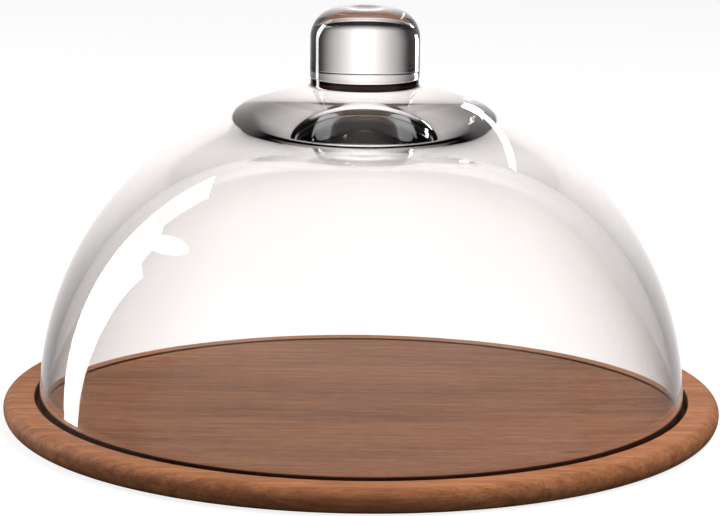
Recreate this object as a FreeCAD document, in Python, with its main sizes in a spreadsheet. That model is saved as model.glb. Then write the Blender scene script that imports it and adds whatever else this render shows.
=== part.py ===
"""Cheese dome: a round wooden board, a clear glass dome that stands in its groove, and a solid glass knob.

Millimetres, +Z up. The origin is the centre of the board's flat underside, on the surface it stands on.
"""
import FreeCAD, Part
import math
import os
import Sketcher

from FreeCAD import Placement, Rotation, Vector

# Driving dimensions: alias, millimetres, what it measures.
SIZES = [
    ("board_thickness", 11.3, "board, underside to top face"),
    ("board_margin", 14.1, "board outside the groove, groove wall to outer edge"),
    ("board_top_rounding", 4.6, "rounding of the board's upper edge"),
    ("board_edge_land", 0.5, "upright band of the edge between its two roundings"),
    ("groove_depth", 6.2, "depth of the ring groove below the top face"),
    ("groove_inner_clearance", 0.5, "groove's inner wall to the inside of the dome rim"),
    ("groove_outer_clearance", 2.1, "groove's outer wall to the outside of the dome rim"),
    ("groove_lip_rounding", 0.6, "rounding of the groove's two upper edges"),
    ("rim_seat_gap", 0.3, "dome rim to groove floor, so that the curved rim clears the wood"),
    ("dome_radius", 146.3, "outside radius of the hemispherical dome"),
    ("rim_wall", 4.5, "glass at the fire-polished rim"),
    ("wall_drop", 9.4, "inner sphere's centre below the outer one's, so the wall grows upwards"),
    ("crown_start_radius", 123.0, "radius at which the inside passes into its tighter crown arc"),
    ("crown_arc_radius", 124.4, "radius of that arc"),
    ("ceiling_drop", 5.7, "flat ceiling inside, below the height at which that arc would top out"),
    ("pad_rounding", 12.0, "rounding of that ceiling's edge"),
    ("boss_rise", 1.8, "top of the crown boss above the dome's own crown"),
    ("boss_step", 0.3, "boss radius is smaller than the knob radius by this"),
    ("boss_root_rounding", 1.2, "fillet where the boss runs out into the dome"),
    ("knob_radius", 24.6, "radius of the solid knob"),
    ("knob_height", 31.3, "knob, foot to top"),
    ("knob_top_radius", 10.9, "radius of the knob's top face, inside its shoulder"),
    ("knob_foot_rounding", 0.7, "rounding of the knob's lower edge"),
    ("dimple_radius", 7.5, "radius of the shallow dimple in the knob's top"),
    ("dimple_depth", 1.0, "depth of that dimple"),
]

# Heights and radii that follow from the driving dimensions, as spreadsheet expressions.
BOARD_RADIUS = "(sizes.dome_radius + sizes.groove_outer_clearance + sizes.board_margin)"
BOARD_BOTTOM_ROUNDING = "(sizes.board_thickness - sizes.board_top_rounding - sizes.board_edge_land)"
GROOVE_FLOOR = "(sizes.board_thickness - sizes.groove_depth)"
GROOVE_INNER_RADIUS = "(sizes.dome_radius - sizes.rim_wall - sizes.groove_inner_clearance)"
GROOVE_OUTER_RADIUS = "(sizes.dome_radius + sizes.groove_outer_clearance)"
RIM_HEIGHT = f"({GROOVE_FLOOR} + sizes.rim_seat_gap)"
RIM_ROUNDING = "(sizes.rim_wall / 2)"
RIM_INSIDE = "(sizes.dome_radius - sizes.rim_wall)"
INNER_CENTRE = f"({RIM_ROUNDING} - sizes.wall_drop)"
INNER_RADIUS = f"sqrt({RIM_INSIDE} ^ 2 + sizes.wall_drop ^ 2)"
CROWN_START = f"({INNER_CENTRE} + sqrt({INNER_RADIUS} ^ 2 - sizes.crown_start_radius ^ 2))"
CROWN_SHARE = f"(1 - sizes.crown_arc_radius / {INNER_RADIUS})"
CROWN_HUB_RADIUS = f"(sizes.crown_start_radius * {CROWN_SHARE})"
CROWN_HUB_HEIGHT = f"({INNER_CENTRE} + ({CROWN_START} - {INNER_CENTRE}) * {CROWN_SHARE})"
CEILING = f"({CROWN_HUB_HEIGHT} + sizes.crown_arc_radius - sizes.ceiling_drop)"
CEILING_RADIUS = (f"({CROWN_HUB_RADIUS} + "
                  f"sqrt(sizes.crown_arc_radius ^ 2 - ({CEILING} - {CROWN_HUB_HEIGHT}) ^ 2))")
BOSS_RADIUS = "(sizes.knob_radius - sizes.boss_step)"
BOSS_ROOT = f"({RIM_ROUNDING} + sqrt(sizes.dome_radius ^ 2 - {BOSS_RADIUS} ^ 2))"
BOSS_TOP = f"({RIM_ROUNDING} + sizes.dome_radius + sizes.boss_rise)"
KNOB_SHOULDER = "(sizes.knob_radius - sizes.knob_top_radius)"
DIMPLE_FLOOR = "(sizes.knob_height - sizes.dimple_depth)"

START, END, CENTRE = range(1, 4)                    # how Sketcher numbers an edge's points
LEVEL_AXIS, UPRIGHT_AXIS = range(-1, -3, -1)        # and the two axes that every sketch has
ORIGIN = (LEVEL_AXIS, START)


def make_sheet(doc):
    """Write the driving dimensions as plain numbers, each with its alias and a note beside it."""
    sheet = doc.addObject("Spreadsheet::Sheet", "sizes")
    for row, (alias, value, note) in enumerate(SIZES, start=1):
        sheet.set(f"A{row}", alias)
        sheet.set(f"B{row}", str(value))
        sheet.set(f"C{row}", note)
        sheet.setAlias(f"B{row}", alias)
    doc.recompute()


def make_body(doc, label):
    """Start a sub-part: a body whose label is the node's name."""
    body = doc.addObject("PartDesign::Body", label)
    body.Label = label
    body.Placement = Placement(Vector(0, 0, 0), Rotation())
    return body


class Profile:
    """A closed sketch on a body's own XZ plane: across is the radius, up is the height.

    Its points are given as pairs of spreadsheet expressions, so each edge is drawn where the
    sizes put it before the constraints hold it there.
    """

    def __init__(self, body, name):
        plane = next(item for item in body.Origin.OriginFeatures if item.Role == "XZ_Plane")
        self.body = body
        self.sketch = body.newObject("Sketcher::SketchObject", name)
        self.sketch.AttachmentSupport = (plane, [""])
        self.sketch.MapMode = "FlatFace"

    def spot(self, point):
        """Work out a (radius, height) pair of expressions as a sketch point."""
        radius, height = (self.body.evalExpression(expression) for expression in point)
        return Vector(radius, height, 0)

    def line(self, start, end):
        """Add a straight edge and return its number."""
        return self.sketch.addGeometry(Part.LineSegment(self.spot(start), self.spot(end)), False)

    def arc(self, centre, start, end):
        """Add an arc, anticlockwise from start to end about a centre, and return its number."""
        hub, first, last = (point if isinstance(point, Vector) else self.spot(point)
                            for point in (centre, start, end))
        angles = [math.atan2(spot.y - hub.y, spot.x - hub.x) % math.tau for spot in (first, last)]
        if angles[1] <= angles[0]:
            angles[1] += math.tau
        circle = Part.Circle(hub, Vector(0, 0, 1), first.distanceToPoint(hub))
        return self.sketch.addGeometry(Part.ArcOfCircle(circle, *angles), False)

    def centre_on_axis(self, side, pole):
        """Find the centre on the axis of the arc that runs from a side point to a pole."""
        low, high = self.spot(side), self.spot(pole)
        return Vector(0, (high.y ** 2 - low.y ** 2 - low.x ** 2) / (2 * (high.y - low.y)), 0)

    def join(self, *pairs):
        """Make the two (edge, point) ends of each pair meet."""
        for first, second in pairs:
            self.sketch.addConstraint(Sketcher.Constraint("Coincident", *first, *second))

    def hold(self, kind, *edges):
        """Keep edges Horizontal or Vertical."""
        for edge in edges:
            self.sketch.addConstraint(Sketcher.Constraint(kind, edge))

    def on_axis(self, *points):
        """Hold (edge, point) pairs on the axis of turning."""
        for point in points:
            self.sketch.addConstraint(Sketcher.Constraint("PointOnObject", *point, UPRIGHT_AXIS))

    def bind(self, kind, arguments, name, expression):
        """Add a named dimension and bind it to the spreadsheet."""
        value = self.body.evalExpression(expression)
        index = self.sketch.addConstraint(Sketcher.Constraint(kind, *arguments, value))
        self.sketch.renameConstraint(index, name)
        self.sketch.setExpression(f"Constraints.{name}", expression)

    def place(self, point, name, radius=None, height=None):
        """Bind an (edge, point) to its radius, its height above the body's origin, or both."""
        if radius is not None:
            self.bind("DistanceX", (*ORIGIN, *point), f"{name}_radius", radius)
        if height is not None:
            self.bind("DistanceY", (*ORIGIN, *point), f"{name}_height", height)

    def turn(self, kind, name):
        """Turn the profile a full circle about the axis, as a Revolution or a Groove."""
        feature = self.body.newObject(f"PartDesign::{kind}", name)
        feature.Profile = self.sketch
        feature.ReferenceAxis = (self.sketch, ["V_Axis"])
        feature.Angle = 360
        self.body.Document.recompute()


def circle_edges(shape, radius, height):
    """Name the level round edges of a shape that have this radius at this height."""
    def near(first, second):
        return math.isclose(first, second, rel_tol=1e-6, abs_tol=1e-6)

    names = []
    for number, edge in enumerate(shape.Edges, start=1):
        if edge.Degenerated or not isinstance(edge.Curve, Part.Circle):
            continue
        circle = edge.Curve
        if near(abs(circle.Axis.z), 1) and near(circle.Radius, radius) and near(circle.Center.z, height):
            names.append(f"Edge{number}")
    return names


def round_edge(body, name, radius, height, rounding):
    """Fillet the body's round edge at (radius, height), with its size bound to the sheet."""
    base = body.Tip
    edges = circle_edges(base.Shape, body.evalExpression(radius), body.evalExpression(height))
    if not edges:
        raise RuntimeError(f"{name} finds no edge to round")
    feature = body.newObject("PartDesign::Fillet", name)
    feature.Base = (base, edges)
    feature.setExpression("Radius", rounding)
    body.Document.recompute()


def make_board(doc):
    """Turned wooden board with a nearly bullnosed edge and one ring groove in its top face."""
    body = make_body(doc, "board")
    top_face = "sizes.board_thickness"

    blank = Profile(body, "board_profile")
    corners = [("0", "0"), (BOARD_RADIUS, "0"), (BOARD_RADIUS, top_face), ("0", top_face)]
    bottom, edge, top, middle = (blank.line(corners[k], corners[(k + 1) % 4]) for k in range(4))
    blank.join(((bottom, START), ORIGIN), ((bottom, END), (edge, START)), ((edge, END), (top, START)),
               ((top, END), (middle, START)), ((middle, END), (bottom, START)))
    blank.hold("Horizontal", bottom, top)
    blank.hold("Vertical", edge, middle)
    blank.place((edge, END), "rim", BOARD_RADIUS, top_face)
    blank.turn("Revolution", "board_blank")
    blank_volume = body.Shape.Volume

    channel = Profile(body, "groove_profile")
    corners = [(GROOVE_INNER_RADIUS, GROOVE_FLOOR), (GROOVE_OUTER_RADIUS, GROOVE_FLOOR),
               (GROOVE_OUTER_RADIUS, top_face), (GROOVE_INNER_RADIUS, top_face)]
    floor, outer, mouth, inner = (channel.line(corners[k], corners[(k + 1) % 4]) for k in range(4))
    channel.join(((floor, END), (outer, START)), ((outer, END), (mouth, START)),
                 ((mouth, END), (inner, START)), ((inner, END), (floor, START)))
    channel.hold("Horizontal", floor, mouth)
    channel.hold("Vertical", outer, inner)
    channel.place((floor, START), "floor", GROOVE_INNER_RADIUS, GROOVE_FLOOR)
    channel.place((mouth, START), "mouth", GROOVE_OUTER_RADIUS, top_face)
    channel.turn("Groove", "ring_groove")
    if body.Shape.Volume >= blank_volume:
        raise RuntimeError("the ring groove removed no wood")

    round_edge(body, "inner_lip", GROOVE_INNER_RADIUS, top_face, "sizes.groove_lip_rounding")
    round_edge(body, "outer_lip", GROOVE_OUTER_RADIUS, top_face, "sizes.groove_lip_rounding")
    round_edge(body, "top_edge", BOARD_RADIUS, top_face, "sizes.board_top_rounding")
    round_edge(body, "bottom_edge", BOARD_RADIUS, "0", BOARD_BOTTOM_ROUNDING)
    return body


def make_dome(doc):
    """Blown hemisphere, thin at its round rim and thick at the crown, with a low boss for the knob.

    The body's own origin lies level with the rim's lowest line. Outside and inside are two
    spheres: the inner one is centred lower, so the wall grows evenly upwards. Near the crown the
    inside turns tighter and ends in a flat ceiling, like the bottom of a bowl.
    """
    body = make_body(doc, "glass_dome")
    rim_outside, rim_inside = ("sizes.dome_radius", RIM_ROUNDING), (RIM_INSIDE, RIM_ROUNDING)
    boss_root, boss_edge = (BOSS_RADIUS, BOSS_ROOT), (BOSS_RADIUS, BOSS_TOP)
    boss_middle, ceiling_middle = ("0", BOSS_TOP), ("0", CEILING)
    crown_start, crown_hub = ("sizes.crown_start_radius", CROWN_START), (CROWN_HUB_RADIUS, CROWN_HUB_HEIGHT)
    ceiling_edge = (CEILING_RADIUS, CEILING)

    shell = Profile(body, "dome_profile")
    outer = shell.arc(("0", RIM_ROUNDING), rim_outside, boss_root)
    wall = shell.line(boss_root, boss_edge)
    top = shell.line(boss_edge, boss_middle)
    middle = shell.line(boss_middle, ceiling_middle)
    ceiling = shell.line(ceiling_middle, ceiling_edge)
    crown = shell.arc(crown_hub, crown_start, ceiling_edge)
    inner = shell.arc(("0", INNER_CENTRE), rim_inside, crown_start)
    rim = shell.arc((f"sizes.dome_radius - {RIM_ROUNDING}", RIM_ROUNDING), rim_inside, rim_outside)
    shell.join(((outer, END), (wall, START)), ((wall, END), (top, START)), ((top, END), (middle, START)),
               ((middle, END), (ceiling, START)), ((ceiling, END), (crown, END)),
               ((crown, START), (inner, END)), ((inner, START), (rim, START)),
               ((rim, END), (outer, START)))
    shell.hold("Vertical", wall)
    shell.hold("Horizontal", top, ceiling)
    shell.on_axis((outer, CENTRE), (inner, CENTRE), (middle, START), (middle, END))
    shell.place((outer, CENTRE), "outer_centre", height=RIM_ROUNDING)
    shell.place((outer, START), "rim_outside", *rim_outside)
    shell.place((rim, START), "rim_inside", *rim_inside)
    shell.place((rim, CENTRE), "rim_centre", height=RIM_ROUNDING)
    shell.place((wall, END), "boss_edge", *boss_edge)
    shell.place((inner, CENTRE), "inner_centre", height=INNER_CENTRE)
    shell.place((inner, END), "crown_start", radius="sizes.crown_start_radius")
    shell.place((crown, CENTRE), "crown_hub", *crown_hub)
    shell.place((middle, END), "ceiling", height=CEILING)
    shell.turn("Revolution", "dome_shell")

    round_edge(body, "boss_foot", *boss_root, "sizes.boss_root_rounding")
    round_edge(body, "ceiling_edge", *ceiling_edge, "sizes.pad_rounding")
    body.setExpression("Placement.Base.z", RIM_HEIGHT)
    return body


def make_knob(doc):
    """Solid glass knob, bonded by its flat foot to the crown boss."""
    body = make_body(doc, "glass_knob")
    shoulder_height = f"(sizes.knob_height - {KNOB_SHOULDER})"
    centre, foot_edge = ("0", "0"), ("sizes.knob_radius", "0")
    shoulder_low = ("sizes.knob_radius", shoulder_height)
    shoulder_high = ("sizes.knob_top_radius", "sizes.knob_height")
    dimple_edge, dimple_middle = ("sizes.dimple_radius", "sizes.knob_height"), ("0", DIMPLE_FLOOR)

    solid = Profile(body, "knob_profile")
    foot = solid.line(centre, foot_edge)
    side = solid.line(foot_edge, shoulder_low)
    shoulder = solid.arc(("sizes.knob_top_radius", shoulder_height), shoulder_low, shoulder_high)
    top = solid.line(shoulder_high, dimple_edge)
    dimple = solid.arc(solid.centre_on_axis(dimple_edge, dimple_middle), dimple_middle, dimple_edge)
    middle = solid.line(dimple_middle, centre)
    solid.join(((foot, START), ORIGIN), ((foot, END), (side, START)), ((shoulder, END), (top, START)),
               ((top, END), (dimple, END)), ((dimple, START), (middle, START)),
               ((middle, END), (foot, START)))
    solid.hold("Horizontal", foot, top)
    solid.hold("Vertical", side)
    solid.sketch.addConstraint(Sketcher.Constraint("Tangent", side, END, shoulder, START))
    solid.on_axis((middle, START), (dimple, CENTRE))
    solid.place((foot, END), "foot", radius="sizes.knob_radius")
    solid.place((top, START), "top_face", *shoulder_high)
    solid.bind("Radius", (shoulder,), "shoulder", KNOB_SHOULDER)
    solid.place((top, END), "dimple_edge", radius="sizes.dimple_radius")
    solid.place((middle, START), "dimple_floor", height=DIMPLE_FLOOR)
    solid.turn("Revolution", "knob_blank")

    round_edge(body, "foot_edge", *foot_edge, "sizes.knob_foot_rounding")
    body.setExpression("Placement.Base.z", f"{RIM_HEIGHT} + {BOSS_TOP}")
    return body


def check(doc, bodies):
    """Stop on any failed feature or sketch, and on any sub-part that isn't one valid solid."""
    for item in doc.Objects:
        if "Invalid" in item.State or "Error" in item.State:
            raise RuntimeError(f"{item.Name} failed: {item.State}")
        if item.TypeId == "Sketcher::SketchObject" and item.solve() != 0:
            raise RuntimeError(f"{item.Name} can't be solved")
    for body in bodies:
        shape = body.Shape
        if shape.isNull() or not shape.isValid() or len(shape.Solids) != 1:
            raise RuntimeError(f"{body.Label} isn't one valid solid")


def main():
    """Build the three sub-parts, check them, and write one STEP file for each."""
    doc = FreeCAD.newDocument("cheese_dome")
    make_sheet(doc)
    bodies = [make_board(doc), make_dome(doc), make_knob(doc)]
    doc.recompute()
    check(doc, bodies)
    os.makedirs("parts", exist_ok=True)
    for body in bodies:
        body.Shape.exportStep(f"parts/{body.Label}.step")
        box = body.Shape.optimalBoundingBox()
        print(f"{body.Label}: {body.Shape.Volume / 1000:.1f} cm3, {box.XLength:.2f} across, "
              f"from {box.ZMin:.2f} to {box.ZMax:.2f}")


main()
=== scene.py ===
"""Looks of a cheese dome: a turned wooden board, a clear glass dome in its ring groove, and a glass knob.

Metres, +Z up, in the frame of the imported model. The wood's grain runs along X.
"""
import logging
import math
from dataclasses import dataclass
from enum import Enum

import bmesh
import bpy
from mathutils import Matrix, Vector


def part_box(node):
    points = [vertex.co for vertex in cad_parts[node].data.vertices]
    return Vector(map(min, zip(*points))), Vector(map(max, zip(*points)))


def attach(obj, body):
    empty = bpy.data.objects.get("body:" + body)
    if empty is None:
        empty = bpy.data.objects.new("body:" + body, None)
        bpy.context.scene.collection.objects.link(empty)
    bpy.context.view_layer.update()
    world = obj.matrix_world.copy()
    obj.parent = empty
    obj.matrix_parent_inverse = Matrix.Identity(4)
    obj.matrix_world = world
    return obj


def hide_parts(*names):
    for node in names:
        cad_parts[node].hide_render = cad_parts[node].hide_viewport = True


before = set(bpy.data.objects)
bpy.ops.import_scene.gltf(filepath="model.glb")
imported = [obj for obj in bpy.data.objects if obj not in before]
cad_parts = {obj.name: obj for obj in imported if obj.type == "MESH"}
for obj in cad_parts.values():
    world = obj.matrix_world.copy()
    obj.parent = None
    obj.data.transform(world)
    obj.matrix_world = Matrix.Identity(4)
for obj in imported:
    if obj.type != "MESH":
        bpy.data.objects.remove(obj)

LOG = logging.getLogger("cheese_dome")
MM = 0.001
AIM = Vector((-0.00125, 0.0, 0.0731))
Point = tuple[float, float]
Triple = tuple[float, float, float]
Stops = tuple[tuple[float, float], ...]


class Smoothness(Enum):
    """How many steps a full turn of a piece is cut into."""

    WOOD = 288
    GLASS = 320


class Outline:
    """Half of a turned piece's section: a chain of (radius, height) points."""

    def __init__(self, radius: float, height: float) -> None:
        """Start the chain at one point."""
        self.points: list[Point] = [(radius, height)]

    def to(self, radius: float, height: float, steps: int = 1) -> "Outline":
        """Run straight to a point.

        Args:
            radius: the point's distance from the axis.
            height: the point's height.
            steps: how many equal pieces the run is cut into.
        Returns:
            The outline itself.
        """
        start = Vector(self.points[-1])
        end = Vector((radius, height))
        self.points += [tuple(start.lerp(end, step / steps)) for step in range(1, steps + 1)]
        return self

    def arc(self, centre: Point, radius: float, start: float, end: float, steps: int) -> "Outline":
        """Run along an arc; its first point is left out where the chain already stands there.

        Args:
            centre: (radius, height) of the arc's centre.
            radius: the arc's own radius.
            start: angle of its first point, in radians from the outward direction.
            end: angle of its last point.
            steps: how many equal pieces the arc is cut into.
        Returns:
            The outline itself.
        """
        for step in range(steps + 1):
            angle = start + (end - start) * step / steps
            spot = (centre[0] + radius * math.cos(angle), centre[1] + radius * math.sin(angle))
            if math.dist(spot, self.points[-1]) > MM / 1000:
                self.points.append(spot)
        return self

    def turn(self, name: str, smoothness: Smoothness) -> bpy.types.Object:
        """Turn the chain a full circle about Z.

        Args:
            name: the piece's name.
            smoothness: how many steps the turn has.
        Returns:
            The new piece, at the origin, with smooth faces that point outwards.
        """
        mesh = bmesh.new()
        verts = [mesh.verts.new((radius, 0.0, height)) for radius, height in self.points]
        edges = [mesh.edges.new(pair) for pair in zip(verts, verts[1:])]
        bmesh.ops.spin(mesh, geom=verts + edges, cent=(0, 0, 0), axis=(0, 0, 1), dvec=(0, 0, 0),
                       angle=math.tau, steps=smoothness.value, use_merge=True, use_duplicate=False)
        bmesh.ops.remove_doubles(mesh, verts=mesh.verts[:], dist=MM / 1000)
        bmesh.ops.recalc_face_normals(mesh, faces=mesh.faces[:])
        for face in mesh.faces:
            face.smooth = True
        data = bpy.data.meshes.new(name)
        mesh.to_mesh(data)
        mesh.free()
        piece = bpy.data.objects.new(name, data)
        bpy.context.scene.collection.objects.link(piece)
        return piece


class Graph:
    """A node tree with short ways to add nodes, set sockets and wire them."""

    def __init__(self, tree: bpy.types.NodeTree) -> None:
        """Empty the tree."""
        self.tree = tree
        tree.nodes.clear()

    def add(self, kind: str, sockets: dict | None = None, **settings: object) -> bpy.types.Node:
        """Add a node.

        Args:
            kind: the node's type, without the ShaderNode in front.
            sockets: input name or number to a plain value, or to the output that feeds it.
            settings: properties of the node.
        Returns:
            The new node.
        """
        name = kind if kind.startswith("NodeGroup") else f"ShaderNode{kind}"
        node = self.tree.nodes.new(name)
        for setting, value in settings.items():
            setattr(node, setting, value)
        for socket, value in (sockets or {}).items():
            self.feed(node, socket, value)
        return node

    def feed(self, node: bpy.types.Node, socket: str | int, value: object) -> None:
        """Give an input a plain value, or wire another node's output to it.

        Args:
            node: the node whose input it is.
            socket: the input's name or number.
            value: a plain value, or the output that feeds it.
        """
        if isinstance(value, bpy.types.NodeSocket):
            self.tree.links.new(value, node.inputs[socket])
        else:
            node.inputs[socket].default_value = value

    def math(self, operation: str, *terms: object, clamp: bool = False) -> bpy.types.NodeSocket:
        """Work out one sum, product or other operation on values and outputs."""
        node = self.add("Math", dict(enumerate(terms)), operation=operation, use_clamp=clamp)
        return node.outputs[0]

    def mix(self, factor: object, first: object, second: object,
            blend: str = "MIX") -> bpy.types.NodeSocket:
        """Mix two colours."""
        sockets = {0: factor, 6: first, 7: second}
        return self.add("Mix", sockets, data_type="RGBA", blend_type=blend).outputs[2]

    def times(self, vector: object, factor: object) -> bpy.types.NodeSocket:
        """Multiply a vector or a colour by one value."""
        sockets = {0: vector, "Scale": factor}
        return self.add("VectorMath", sockets, operation="SCALE").outputs[0]

    def carry(self, value: object, source: Point, target: Point) -> bpy.types.NodeSocket:
        """Carry a value over from one range to another, held at both ends.

        Args:
            value: the output to carry over.
            source: the range's start and end before.
            target: the same after.
        Returns:
            The new value.
        """
        sockets = {"Value": value, "From Min": source[0], "From Max": source[1],
                   "To Min": target[0], "To Max": target[1]}
        return self.add("MapRange", sockets).outputs[0]

    def scaled(self, vector: object, scale: Triple,
               location: Triple = (0.0, 0.0, 0.0)) -> bpy.types.NodeSocket:
        """Stretch and shift a pattern's coordinates."""
        sockets = {"Vector": vector, "Location": location, "Scale": scale}
        return self.add("Mapping", sockets).outputs[0]

    def noise(self, vector: object, detail: float = 2.0, roughness: float = 0.5,
              distortion: float = 0.0) -> bpy.types.NodeSocket:
        """Make smooth noise on coordinates that already have their scale.

        Args:
            vector: the coordinates.
            detail: how many finer layers it has.
            roughness: how strong each finer layer is.
            distortion: how far it bends itself.
        Returns:
            Values from 0 to 1.
        """
        sockets = {"Vector": vector, "Scale": 1.0, "Detail": detail, "Roughness": roughness,
                   "Distortion": distortion}
        return self.add("TexNoise", sockets).outputs["Fac"]

    def ramp(self, value: object, stops: Stops) -> bpy.types.NodeSocket:
        """Turn a value into grey by straight runs between stops.

        Args:
            value: the output to turn into grey.
            stops: (place, grey) pairs from the lowest place up.
        Returns:
            The grey.
        """
        node = self.add("ValToRGB", {0: value})
        elements = node.color_ramp.elements
        while len(elements) < len(stops):
            elements.new(1.0)
        for element, (place, grey) in zip(elements, stops):
            element.position = place
            element.color = (grey, grey, grey, 1.0)
        return node.outputs["Color"]


def start_group(name: str, inputs: dict[str, str],
                outputs: dict[str, str]) -> tuple[Graph, dict, bpy.types.Node]:
    """Start a shader node group.

    Args:
        name: the group's name.
        inputs: input name to the last word of its socket type.
        outputs: the same for outputs.
    Returns:
        Its graph, its inputs by name, and its output node.
    """
    tree = bpy.data.node_groups.new(name, "ShaderNodeTree")
    for direction, sockets in (("INPUT", inputs), ("OUTPUT", outputs)):
        for socket, kind in sockets.items():
            tree.interface.new_socket(socket, in_out=direction, socket_type=f"NodeSocket{kind}")
    graph = Graph(tree)
    source = graph.add("NodeGroupInput")
    return graph, {socket: source.outputs[socket] for socket in inputs}, graph.add("NodeGroupOutput")


def wavy_group() -> bpy.types.NodeTree:
    """Build the faint, slow waviness of hand-blown glass as a height.

    Returns:
        The group, which takes coordinates and how many waves go into a metre.
    """
    graph, given, result = start_group("blown_waves", {"Vector": "Vector", "Waves": "Float"},
                                       {"Height": "Float"})
    spread = graph.times(given["Vector"], given["Waves"])
    graph.feed(result, "Height", graph.noise(spread, detail=1.0, distortion=0.6))
    return graph.tree


@dataclass(frozen=True)
class Woods:
    """Colours of one wood, from the palest earlywood to the pores."""

    pale: Triple = (0.560, 0.232, 0.100)
    middle: Triple = (0.245, 0.090, 0.040)
    dark: Triple = (0.080, 0.030, 0.016)
    pore: Triple = (0.030, 0.011, 0.006)


@dataclass(frozen=True)
class Layer:
    """One layer of noise in the grain: few waves to a metre along X, many across."""

    waves: Triple
    shift: Triple = (0.0, 0.0, 0.0)
    detail: float = 2.0
    roughness: float = 0.5
    contrast: Stops = ((0.35, 0.0), (0.65, 1.0))
    share: float = 1.0      # how much it colours the wood
    rise: float = 0.0       # how much it raises the surface
    wear: float = 0.0       # how much it dulls the surface

    def build(self, graph: Graph, vector: object) -> bpy.types.NodeSocket:
        """Make the noise and raise its contrast."""
        place = graph.scaled(vector, self.waves, self.shift)
        return graph.ramp(graph.noise(place, self.detail, self.roughness), self.contrast)


@dataclass(frozen=True)
class Spot:
    """A place in the wood that bends the growth lines round it, in metres."""

    place: Triple
    reach: Triple
    lines: float            # how many lines it pushes aside

    def build(self, graph: Graph, vector: object) -> bpy.types.NodeSocket:
        """Make a soft mask.

        Args:
            graph: the node tree to add it to.
            vector: the wood's coordinates.
        Returns:
            1 at the place, and 0 beyond the reach along each axis.
        """
        scale = tuple(1.0 / size for size in self.reach)
        shift = tuple(-where / size for where, size in zip(self.place, self.reach))
        near = graph.scaled(vector, scale, shift)
        return graph.add("TexGradient", {0: near}, gradient_type="QUADRATIC_SPHERE").outputs["Fac"]


@dataclass(frozen=True)
class GrainFigure:
    """Where the board's growth lines run, what bends them, and what lies between them."""

    line_spacing: float = 9.0 * MM
    line_slope: float = 0.6
    wander: float = 2.6
    wander_waves: Triple = (2.6, 17.0, 17.0)
    wander_shift: Triple = (3.1, 0.4, 0.0)
    wander_detail: float = 1.5
    heart: Spot = Spot((-0.075, -0.118, 0.011), (0.075, 0.016, 0.05), 2.4)
    knot: Spot = Spot((0.089, -0.098, 0.011), (0.016, 0.0026, 0.02), 0.8)
    knot_core: Stops = ((0.15, 0.0), (0.6, 0.85))
    line: Stops = ((0.0, 0.10), (0.55, 0.0), (0.86, 0.55), (0.95, 1.0), (1.0, 0.10))
    line_strength: Layer = Layer((5.0, 60.0, 60.0), (7.0, 2.0, 0.0),
                                 contrast=((0.35, 0.15), (0.65, 1.0)), share=0.40)
    broad: Layer = Layer((5.0, 24.0, 24.0), (0.0, 5.6, 0.0),
                         contrast=((0.34, 0.0), (0.66, 1.0)), share=0.45)
    streaks: Layer = Layer((26.0, 300.0, 300.0), detail=4.0, roughness=0.65,
                           contrast=((0.38, 0.0), (0.62, 1.0)), share=0.55, rise=0.35)
    fibre: Layer = Layer((110.0, 1500.0, 1500.0), roughness=0.6, share=0.45, rise=0.5, wear=0.5)
    pores: Layer = Layer((150.0, 2300.0, 2300.0), (1.0, 9.0, 4.0), detail=1.0,
                         contrast=((0.62, 0.0), (0.72, 1.0)), share=0.55, rise=-1.0, wear=0.5)


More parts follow.
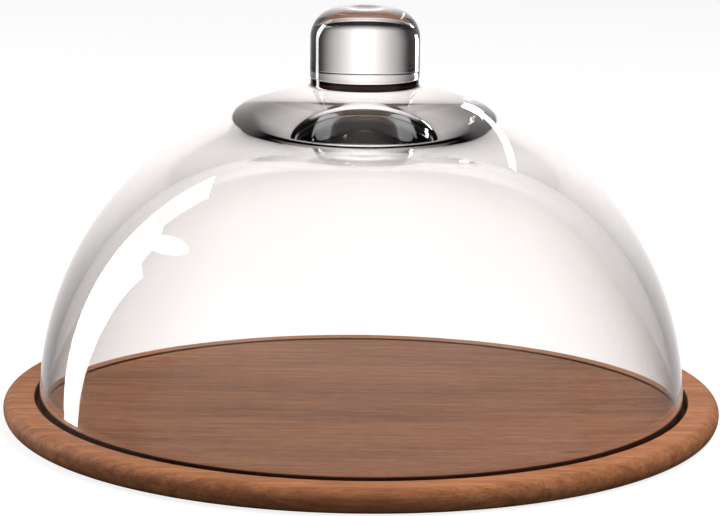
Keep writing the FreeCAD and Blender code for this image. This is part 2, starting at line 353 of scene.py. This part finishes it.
@dataclass(frozen=True)
class OiledWood:
    """Oiled reddish-brown hardwood with straight, fine grain along X."""

    groove: Triple          # radii of its two walls, and the height of the board's top
    name: str = "oiled_hardwood"
    woods: Woods = Woods()
    figure: GrainFigure = GrainFigure()
    roughness: tuple[float, float] = (0.50, 0.75)
    gloss: float = 0.1
    grain_depth: float = 0.10 * MM
    grain_strength: float = 0.8
    groove_margin: float = 0.3 * MM
    # painted shade: the depths below the top over which the groove darkens, and how far it darkens, in
    # place of the shade that falls in the groove
    painted_shade_depths: tuple[float, float] = (0.02 * MM, 0.3 * MM)
    painted_groove_shade: float = 0.95
    # painted shade: the field inside the groove is darkened to this share in place of the light the glass
    # dome takes away, and it brightens back over the edge below
    painted_dome_shade: float = 0.64
    painted_dome_shade_edge: float = 1.0 * MM

    def grain_group(self) -> bpy.types.NodeTree:
        """Build the grain as a group.

        Returns:
            The group, with colour, roughness and height.
        """
        colours = ("Pale", "Middle", "Dark", "Pore")
        inputs = {"Vector": "Vector", "Shade": "Float", **{colour: "Color" for colour in colours}}
        outputs = {"Color": "Color", "Roughness": "Float", "Height": "Float"}
        graph, given, result = start_group("straight_grain", inputs, outputs)
        vector = given["Vector"]
        figure = self.figure

        place = graph.add("SeparateXYZ", {0: vector}).outputs
        across = graph.math("MULTIPLY_ADD", place["Z"], figure.line_slope, place["Y"])
        lines = graph.math("DIVIDE", across, figure.line_spacing)
        wander = graph.scaled(vector, figure.wander_waves, figure.wander_shift)
        wander = graph.noise(wander, detail=figure.wander_detail)
        lines = graph.math("MULTIPLY_ADD", wander, figure.wander, lines)
        heart = figure.heart.build(graph, vector)
        lines = graph.math("MULTIPLY_ADD", heart, figure.heart.lines, lines)
        knot = figure.knot.build(graph, vector)
        lines = graph.math("MULTIPLY_ADD", knot, figure.knot.lines, lines)
        late = graph.ramp(graph.math("FRACT", lines), figure.line)
        late = graph.math("MULTIPLY", late, figure.line_strength.build(graph, vector))

        broad = figure.broad.build(graph, vector)
        streaks = figure.streaks.build(graph, vector)
        fibre = figure.fibre.build(graph, vector)
        pores = figure.pores.build(graph, vector)

        broad = graph.math("MULTIPLY", broad, figure.broad.share)
        tone = graph.math("MULTIPLY_ADD", streaks, figure.streaks.share, broad)
        colour = graph.mix(tone, given["Pale"], given["Middle"])
        for mask, share, stain in ((late, figure.line_strength.share, "Dark"),
                                   (fibre, figure.fibre.share, "Middle"),
                                   (pores, figure.pores.share, "Pore")):
            colour = graph.mix(graph.math("MULTIPLY", mask, share), colour, given[stain])
        # the knot's dark core, and the painted shade in the groove, both darken the wood towards the pore
        # colour
        knot_core_and_painted_shade = graph.math("MAXIMUM", graph.ramp(knot, figure.knot_core), given["Shade"])
        colour = graph.mix(knot_core_and_painted_shade, colour, given["Pore"])
        graph.feed(result, "Color", colour)
        wear = graph.math("MULTIPLY", pores, figure.pores.wear)
        graph.feed(result, "Roughness", graph.math("MULTIPLY_ADD", fibre, figure.fibre.wear, wear))
        height = graph.math("MULTIPLY", streaks, figure.streaks.rise)
        height = graph.math("MULTIPLY_ADD", pores, figure.pores.rise, height)
        graph.feed(result, "Height", graph.math("MULTIPLY_ADD", fibre, figure.fibre.rise, height))
        return graph.tree

    def painted_shades(self, graph: Graph, coordinates: object) -> tuple:
        """Mask the painted shade in the ring groove, and darken the field under the dome with painted
        shade.

        Args:
            graph: the material's node tree.
            coordinates: the board's object coordinates.
        Returns:
            The painted shade in the groove, and the painted shade of the field under the dome as a factor
            on its colour.
        """
        inner, outer, top = self.groove
        place = graph.add("SeparateXYZ", {0: coordinates}).outputs
        flat = graph.add("CombineXYZ", {0: place["X"], 1: place["Y"]}).outputs[0]
        radius = graph.add("VectorMath", {0: flat}, operation="LENGTH").outputs["Value"]
        inside = graph.math("MULTIPLY", graph.math("GREATER_THAN", radius, inner - self.groove_margin),
                            graph.math("LESS_THAN", radius, outer + self.groove_margin))
        first, full = self.painted_shade_depths
        # painted shade: the groove grows darker with depth below the board's top
        depth = graph.carry(place["Z"], (top - first, top - full), (0.0, self.painted_groove_shade))
        # painted shade: the field under the dome is darker than the rim
        dome_shade = graph.carry(radius, (inner, inner + self.painted_dome_shade_edge), (self.painted_dome_shade, 1.0))
        return graph.math("MULTIPLY", inside, depth), dome_shade

    def material(self) -> bpy.types.Material:
        """Build the material: grain on object coordinates, painted shade in the groove and on the field, a
        bump and one Principled shader.

        Returns:
            The material.
        """
        material = bpy.data.materials.new(self.name)
        material.use_nodes = True
        graph = Graph(material.node_tree)
        coordinates = graph.add("TexCoord").outputs["Object"]
        grain = graph.add("Group", node_tree=self.grain_group())
        graph.feed(grain, "Vector", coordinates)
        for socket, colour in (("Pale", self.woods.pale), ("Middle", self.woods.middle),
                               ("Dark", self.woods.dark), ("Pore", self.woods.pore)):
            graph.feed(grain, socket, (*colour, 1.0))
        shade, dome_shade = self.painted_shades(graph, coordinates)
        graph.feed(grain, "Shade", shade)
        low, high = self.roughness
        roughness = graph.math("MULTIPLY_ADD", grain.outputs["Roughness"], high - low, low)
        bump = graph.add("Bump", {"Strength": self.grain_strength, "Distance": self.grain_depth,
                                  "Height": grain.outputs["Height"]})
        # the painted shade of the field under the dome multiplies the grain's colour
        shaded = graph.times(grain.outputs["Color"], dome_shade)
        shader = graph.add("BsdfPrincipled", {"Base Color": shaded, "Roughness": roughness,
                                              "Normal": bump.outputs[0],
                                              "Specular IOR Level": self.gloss})
        graph.add("OutputMaterial", {"Surface": shader.outputs[0]})
        return material


@dataclass(frozen=True)
class ClearGlass:
    """Clear blown or pressed glass that lets lamps shine through."""

    name: str
    colour: Triple = (1.0, 1.0, 1.0)
    ior: float = 1.5
    waves: float = 14.0     # to a metre
    wave_depth: float = 0.05 * MM
    shine: float = 0.93     # share of a lamp's light that passes one surface

    def material(self) -> bpy.types.Material:
        """Build the material: glass with faint waves, and clear to the lamps' shadow rays.

        Returns:
            The material.
        """
        material = bpy.data.materials.new(self.name)
        material.use_nodes = True
        graph = Graph(material.node_tree)
        coordinates = graph.add("TexCoord").outputs["Object"]
        tree = bpy.data.node_groups.get("blown_waves") or wavy_group()
        waves = graph.add("Group", node_tree=tree)
        graph.feed(waves, "Vector", coordinates)
        graph.feed(waves, "Waves", self.waves)
        bump = graph.add("Bump", {"Strength": 1.0, "Distance": self.wave_depth,
                                  "Height": waves.outputs["Height"]})
        glass = graph.add("BsdfPrincipled", {"Base Color": (*self.colour, 1.0), "Roughness": 0.0,
                                             "IOR": self.ior, "Transmission Weight": 1.0,
                                             "Normal": bump.outputs[0]})
        clear = graph.add("BsdfTransparent", {"Color": (self.shine,) * 3 + (1.0,)})
        shadow = graph.add("LightPath").outputs["Is Shadow Ray"]
        surface = graph.add("MixShader", {0: shadow, 1: glass.outputs[0], 2: clear.outputs[0]})
        graph.add("OutputMaterial", {"Surface": surface.outputs[0]})
        return material


@dataclass
class Board:
    """Turned wooden board with a nearly bullnosed edge and a ring groove."""

    top_rounding: float = 4.6 * MM
    edge_land: float = 0.5 * MM
    groove_inner: float = 141.3 * MM
    groove_outer: float = 148.4 * MM
    groove_depth: float = 6.2 * MM
    lip: float = 0.6 * MM

    def build(self) -> bpy.types.Object:
        """Turn the board and dress it.

        Returns:
            The finished board, which stands for the CAD board.
        """
        _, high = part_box("board")
        radius, top = high.x, high.z
        under = top - self.top_rounding - self.edge_land
        floor = top - self.groove_depth
        quarter = math.pi / 2
        outline = Outline(0.0, 0.0).to(radius - under, 0.0, 24)
        outline.arc((radius - under, under), under, -quarter, 0.0, 16)
        outline.arc((radius - self.top_rounding, top - self.top_rounding), self.top_rounding,
                    0.0, quarter, 16)
        outline.to(self.groove_outer + self.lip, top, 4)
        outline.arc((self.groove_outer + self.lip, top - self.lip), self.lip, quarter, math.pi, 6)
        outline.to(self.groove_outer, floor, 4).to(self.groove_inner, floor, 4)
        outline.to(self.groove_inner, top - self.lip, 4)
        outline.arc((self.groove_inner - self.lip, top - self.lip), self.lip, 0.0, quarter, 6)
        outline.to(0.0, top, 32)
        piece = outline.turn("turned_board", Smoothness.WOOD)
        finish = OiledWood((self.groove_inner, self.groove_outer, top))
        piece.data.materials.append(finish.material())
        sharpen(piece)
        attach(piece, "base")
        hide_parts("board")
        return piece


def sharpen(piece: bpy.types.Object, angle: float = math.radians(40)) -> None:
    """Keep edges that bend more than an angle crisp.

    Args:
        piece: the piece, whose mesh is changed.
        angle: the smallest bend of a crisp edge, in radians.
    """
    mesh = bmesh.new()
    mesh.from_mesh(piece.data)
    for edge in mesh.edges:
        if len(edge.link_faces) == 2 and edge.calc_face_angle() > angle:
            edge.smooth = False
    mesh.to_mesh(piece.data)
    mesh.free()


@dataclass
class Dome:
    """Blown glass hemisphere, thin at its round rim and thick at the crown, with a low boss."""

    rim_wall: float = 4.5 * MM
    wall_drop: float = 9.4 * MM
    crown_start: float = 123.0 * MM
    crown_arc: float = 124.4 * MM
    boss_step: float = 0.3 * MM
    boss_root: float = 1.7 * MM
    ceiling_drop: float = 5.7 * MM
    pad_rounding: float = 12.0 * MM
    finish: ClearGlass = ClearGlass("dome_glass")

    def build(self) -> bpy.types.Object:
        """Turn the dome and dress it.

        Returns:
            The finished dome, which stands for the CAD dome.
        """
        low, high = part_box("glass_dome")
        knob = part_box("glass_knob")[1].x
        radius, half_rim = high.x, self.rim_wall / 2
        centre = low.z + half_rim
        rim_inside = radius - self.rim_wall
        inner, hub = math.hypot(rim_inside, self.wall_drop), centre - self.wall_drop
        boss = knob - self.boss_step
        start = math.asin(self.wall_drop / inner)
        bend = math.acos(self.crown_start / inner)
        share = inner - self.crown_arc
        crown = (share * math.cos(bend), hub + share * math.sin(bend))
        ceiling = crown[1] + self.crown_arc - self.ceiling_drop
        rise = ceiling - self.pad_rounding - crown[1]
        reach = math.sqrt((self.crown_arc - self.pad_rounding) ** 2 - rise ** 2)
        edge = (crown[0] + reach, ceiling - self.pad_rounding)
        turn = math.atan2(rise, reach)

        outline = Outline(0.0, ceiling).to(edge[0], ceiling, 24)
        outline.arc(edge, self.pad_rounding, math.pi / 2, turn, 12)
        outline.arc(crown, self.crown_arc, turn, bend, 70)
        outline.arc((0.0, hub), inner, bend, start, 50)
        outline.arc((radius - half_rim, centre), half_rim, math.pi, math.tau, 16)
        root = self.boss_root
        reach = radius + root
        bend = math.acos((boss + root) / reach)
        outline.arc((0.0, centre), radius, 0.0, bend, 110)
        outline.arc((boss + root, centre + reach * math.sin(bend)), root, math.pi + bend, math.pi, 8)
        outline.to(boss, high.z, 3).to(0.0, high.z, 10)
        piece = outline.turn("blown_dome", Smoothness.GLASS)
        piece.data.materials.append(self.finish.material())
        sharpen(piece)
        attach(piece, "cover")
        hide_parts("glass_dome")
        return piece


@dataclass
class Knob:
    """Solid glass knob with a broad rounded shoulder and a shallow dimple on top."""

    top_radius: float = 10.9 * MM
    foot_rounding: float = 0.7 * MM
    dimple_radius: float = 7.5 * MM
    dimple_depth: float = 1.0 * MM
    bond: float = 0.05 * MM
    finish: ClearGlass = ClearGlass("knob_glass", waves=60.0)

    def build(self) -> bpy.types.Object:
        """Turn the knob and dress it; its foot reaches a hair into the boss, as a bonded foot does.

        Returns:
            The finished knob, which stands for the CAD knob.
        """
        low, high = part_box("glass_knob")
        radius, top, foot = high.x, high.z, low.z - self.bond
        shoulder = radius - self.top_radius
        quarter = math.pi / 2
        outline = Outline(0.0, foot).to(radius - self.foot_rounding, foot, 8)
        outline.arc((radius - self.foot_rounding, low.z + self.foot_rounding), self.foot_rounding,
                    -quarter, 0.0, 8)
        outline.to(radius, top - shoulder, 8)
        outline.arc((self.top_radius, top - shoulder), shoulder, 0.0, quarter, 32)
        sphere = (self.dimple_radius ** 2 + self.dimple_depth ** 2) / (2 * self.dimple_depth)
        lean = math.asin(self.dimple_radius / sphere)
        outline.arc((0.0, top - self.dimple_depth + sphere), sphere, -quarter + lean, -quarter, 12)
        piece = outline.turn("solid_knob", Smoothness.GLASS)
        piece.data.materials.append(self.finish.material())
        sharpen(piece)
        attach(piece, "cover")
        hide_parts("glass_knob")
        return piece


@dataclass(frozen=True)
class Softbox:
    """A flat lamp that faces the object: where it stands in the sky, its size and its brightness."""

    name: str
    bearing: float          # degrees from +Y towards +X
    low: float              # degrees above the horizon
    high: float
    width: float            # degrees
    distance: float         # metres
    brightness: float       # 1 is white
    shows: bool = True      # reflections show it
    through: bool = False   # it shows through glass
    round: bool = False     # an ellipse, not a rectangle
    tilt: float = 0.0       # degrees about the line to the object

    def build(self) -> bpy.types.Object:
        """Hang the lamp.

        Returns:
            The lamp's object.
        """
        bearing, lift = math.radians(self.bearing), math.radians((self.low + self.high) / 2)
        towards = Vector((math.sin(bearing) * math.cos(lift), math.cos(bearing) * math.cos(lift),
                          math.sin(lift)))
        lamp = bpy.data.lights.new(self.name, "AREA")
        lamp.shape = "ELLIPSE" if self.round else "RECTANGLE"
        lamp.size = 2 * self.distance * math.tan(math.radians(self.width / 2))
        lamp.size_y = 2 * self.distance * math.tan(math.radians((self.high - self.low) / 2))
        lamp.energy = self.brightness * math.pi * lamp.size * lamp.size_y
        holder = bpy.data.objects.new(self.name, lamp)
        holder.matrix_world = (Matrix.Translation(AIM + towards * self.distance)
                               @ towards.to_track_quat("Z", "Y").to_matrix().to_4x4()
                               @ Matrix.Rotation(math.radians(self.tilt), 4, "Z"))
        holder.visible_camera = False
        holder.visible_transmission = self.through
        holder.visible_glossy = self.shows
        bpy.context.scene.collection.objects.link(holder)
        return holder


@dataclass(frozen=True)
class Rays:
    """The kinds of ray that see the surroundings differently, as 0 or 1."""

    camera: bpy.types.NodeSocket
    glass: bpy.types.NodeSocket     # has met nothing but glass
    straight: bpy.types.NodeSocket  # hasn't been reflected
    walls: bpy.types.NodeSocket     # has passed two walls of glass


def sort_rays(graph: Graph) -> Rays:
    """Name the kinds of ray that see the surroundings differently.

    Args:
        graph: the node tree to add them to.
    Returns:
        The kinds of ray.
    """
    path = graph.add("LightPath").outputs
    clear = graph.math("MAXIMUM", path["Is Glossy Ray"], path["Is Transmission Ray"])
    first = graph.math("LESS_THAN", path["Diffuse Depth"], 0.5)
    return Rays(camera=path["Is Camera Ray"], glass=graph.math("MULTIPLY", clear, first),
                straight=graph.math("LESS_THAN", path["Glossy Depth"], 0.5),
                walls=graph.math("GREATER_THAN", path["Transmission Depth"], 3.5))


@dataclass(frozen=True)
class Tent:
    """Surroundings that only glass sees: white behind, dark flags at the sides, a soft box in front.

    Stops pair degrees with a grey, round from the middle of the white or up from the horizon, and
    those of the front pair a share with a grey: 0.5 is sideways and 1 straight ahead.
    """

    backdrop: Triple = (1.26, 1.20, 1.18)
    middle: float = 1.0                     # degrees from +Y towards +X
    spread_heights: Point = (-0.1, 0.2)     # between these the flags draw apart upwards
    spread: Point = (1.0, 0.7)              # what a degree counts at those two heights
    around: Stops = ((0, 1.0), (5, 0.97), (13, 0.68), (20, 0.46), (27, 0.30),
                     (33, 0.16), (38, 0.06), (42, 0.02), (92, 0.02), (115, 0.27))
    behind: Stops = ((-90, 0.02), (-27, 0.02), (-21, 1.0), (38, 1.0), (46, 0.04))
    above: Stops = ((-20, 0.0), (0, 0.25), (16, 0.26), (29, 0.5), (38, 0.6), (46, 0.1))
    front: Stops = ((0.5, 0.0), (0.68, 1.0))
    clear_round: Stops = ((100, 0.0), (110, 1.0))   # white again beyond the flags, through one wall
    walls_widen: float = 56.0                       # degrees nearer that this starts through two
    clear_under: Stops = ((-30, 1.0), (-26, 0.0))   # and white from below, through two

    def round_by(self, graph: Graph, degrees: object, stops: Stops) -> bpy.types.NodeSocket:
        """Shade by the bearing, given as a share of a half turn."""
        return graph.ramp(degrees, [(angle / 180, grey) for angle, grey in stops])

    def up_by(self, graph: Graph, lift: object, stops: Stops) -> bpy.types.NodeSocket:
        """Shade by the height above the horizon, given from 0 straight down to 1 straight up."""
        return graph.ramp(lift, [(math.sin(math.radians(angle)) / 2 + 0.5, grey) for angle, grey in stops])

    def build(self, graph: Graph, rays: Rays) -> bpy.types.NodeSocket:
        """Colour the tent.

        Args:
            graph: the sky's node tree.
            rays: the kinds of ray; those that pass glass without a reflection see white round the flags.
        Returns:
            The tent's colour.
        """
        direction = graph.add("TexCoord").outputs["Generated"]
        place = graph.add("SeparateXYZ", {0: direction}).outputs
        bearing = graph.math("ARCTAN2", place["X"], place["Y"])
        bearing = graph.math("ABSOLUTE", graph.math("SUBTRACT", bearing, math.radians(self.middle)))
        foot, head = self.spread
        spread = graph.carry(place["Z"], self.spread_heights, (foot / math.pi, head / math.pi))
        degrees = graph.math("MULTIPLY", bearing, spread)
        lift = graph.math("MULTIPLY_ADD", place["Z"], 0.5, 0.5)
        around = self.round_by(graph, degrees, self.around)
        lit = graph.mix(1.0, around, self.up_by(graph, lift, self.behind), "MULTIPLY")
        backdrop = graph.mix(1.0, lit, (*self.backdrop, 1.0), "MULTIPLY")
        front = graph.ramp(graph.math("MULTIPLY_ADD", place["Y"], -0.5, 0.5), self.front)
        softbox = graph.mix(1.0, front, self.up_by(graph, lift, self.above), "MULTIPLY")
        tent = graph.mix(1.0, backdrop, softbox, "LIGHTEN")

        widened = graph.math("MULTIPLY_ADD", rays.walls, self.walls_widen / 180, degrees)
        wide = self.round_by(graph, widened, self.clear_round)
        steep = graph.math("MULTIPLY", self.up_by(graph, lift, self.clear_under), rays.walls)
        clear = graph.math("MULTIPLY", rays.straight, graph.math("MAXIMUM", wide, steep))
        return graph.mix(clear, tent, (*self.backdrop, 1.0))


@dataclass
class Studio:
    """Plain pale surroundings: floor, sky, lamps and camera."""

    elevation: float = 11.68
    distance: float = 1.299
    lens: float = 143.44
    roll: float = 0.64
    floor_size: float = 4.0
    floor_grey: float = 0.22
    floor_glow: float = 0.85
    ambient: float = 0.24
    tent: Tent = Tent()

    def build_sky(self) -> None:
        """Make the sky: white to the eye, the tent to glass, and a plain grey to the rest."""
        world = bpy.data.worlds.new("studio")
        bpy.context.scene.world = world
        world.use_nodes = True
        graph = Graph(world.node_tree)
        rays = sort_rays(graph)
        colour = graph.mix(rays.glass, (self.ambient,) * 3 + (1.0,), self.tent.build(graph, rays))
        colour = graph.mix(rays.camera, colour, (1.0, 1.0, 1.0, 1.0))
        background = graph.add("Background", {"Color": colour, "Strength": 1.0})
        graph.add("OutputWorld", {"Surface": background.outputs[0]})

    def build_floor(self) -> None:
        """Lay the pale floor, which keeps the shadow and lets the glass's rays pass to the tent."""
        mesh = bmesh.new()
        bmesh.ops.create_circle(mesh, cap_ends=True, segments=64, radius=self.floor_size)
        data = bpy.data.meshes.new("floor")
        mesh.to_mesh(data)
        mesh.free()
        floor = bpy.data.objects.new("floor", data)
        bpy.context.scene.collection.objects.link(floor)
        material = bpy.data.materials.new("pale_floor")
        material.use_nodes = True
        graph = Graph(material.node_tree)
        rays = sort_rays(graph)
        matte = graph.add("BsdfDiffuse", {"Color": (self.floor_grey,) * 3 + (1.0,)})
        strength = graph.math("MULTIPLY", rays.camera, self.floor_glow)
        glow = graph.add("Emission", {"Color": (1.0, 1.0, 1.0, 1.0), "Strength": strength})
        lit = graph.add("AddShader", {0: matte.outputs[0], 1: glow.outputs[0]})
        clear = graph.add("BsdfTransparent")
        surface = graph.add("MixShader", {0: rays.glass, 1: lit.outputs[0], 2: clear.outputs[0]})
        graph.add("OutputMaterial", {"Surface": surface.outputs[0]})
        data.materials.append(material)

    def build_lamps(self) -> None:
        """Hang the lamps: a bent strip of four at the left, a broad one above, a window at the right."""
        for lamp in (Softbox("left_strip", -61.5, -13.0, 30.0, 10.5, 1.5, 9.0, through=True),
                     Softbox("left_strip_side", -65.5, 4.0, 33.0, 14.0, 1.5, 6.0, round=True, tilt=-8.0),
                     Softbox("left_strip_top", -60.5, 27.0, 46.0, 9.5, 1.5, 4.0, tilt=4.0),
                     Softbox("left_prong", -77.0, 31.2, 36.2, 21.0, 1.5, 4.0, round=True, tilt=30.0),
                     Softbox("top_key", 115.0, 45.0, 76.0, 40.0, 1.3, 7.4, shows=False),
                     Softbox("right_window", 29.0, 31.9, 33.9, 33.0, 1.5, 5.0, tilt=-40.0)):
            lamp.build()

    def build_camera(self) -> None:
        """Set up the camera, a little above the board and slightly rolled."""
        lens = bpy.data.cameras.new("camera")
        lens.lens = self.lens
        lens.sensor_width = 36.0
        lens.clip_start = 0.05
        lens.clip_end = 50.0
        camera = bpy.data.objects.new("camera", lens)
        lift = math.radians(self.elevation)
        back = Vector((0.0, -math.cos(lift), math.sin(lift)))
        camera.matrix_world = (Matrix.Translation(AIM + back * self.distance)
                               @ back.to_track_quat("Z", "Y").to_matrix().to_4x4()
                               @ Matrix.Rotation(math.radians(self.roll), 4, "Z"))
        bpy.context.scene.collection.objects.link(camera)
        bpy.context.scene.camera = camera

    def build(self) -> None:
        """Build the whole studio."""
        self.build_camera()
        self.build_sky()
        self.build_floor()
        self.build_lamps()
        bpy.context.scene.view_settings.view_transform = "Standard"


def main() -> None:
    """Build the studio and the three pieces."""
    logging.basicConfig(level=logging.INFO)
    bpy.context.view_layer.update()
    Studio().build()
    for part in (Board(), Dome(), Knob()):
        piece = part.build()
        LOG.info("%s has %d faces", piece.name, len(piece.data.polygons))


if __name__ == "__main__":
    main()
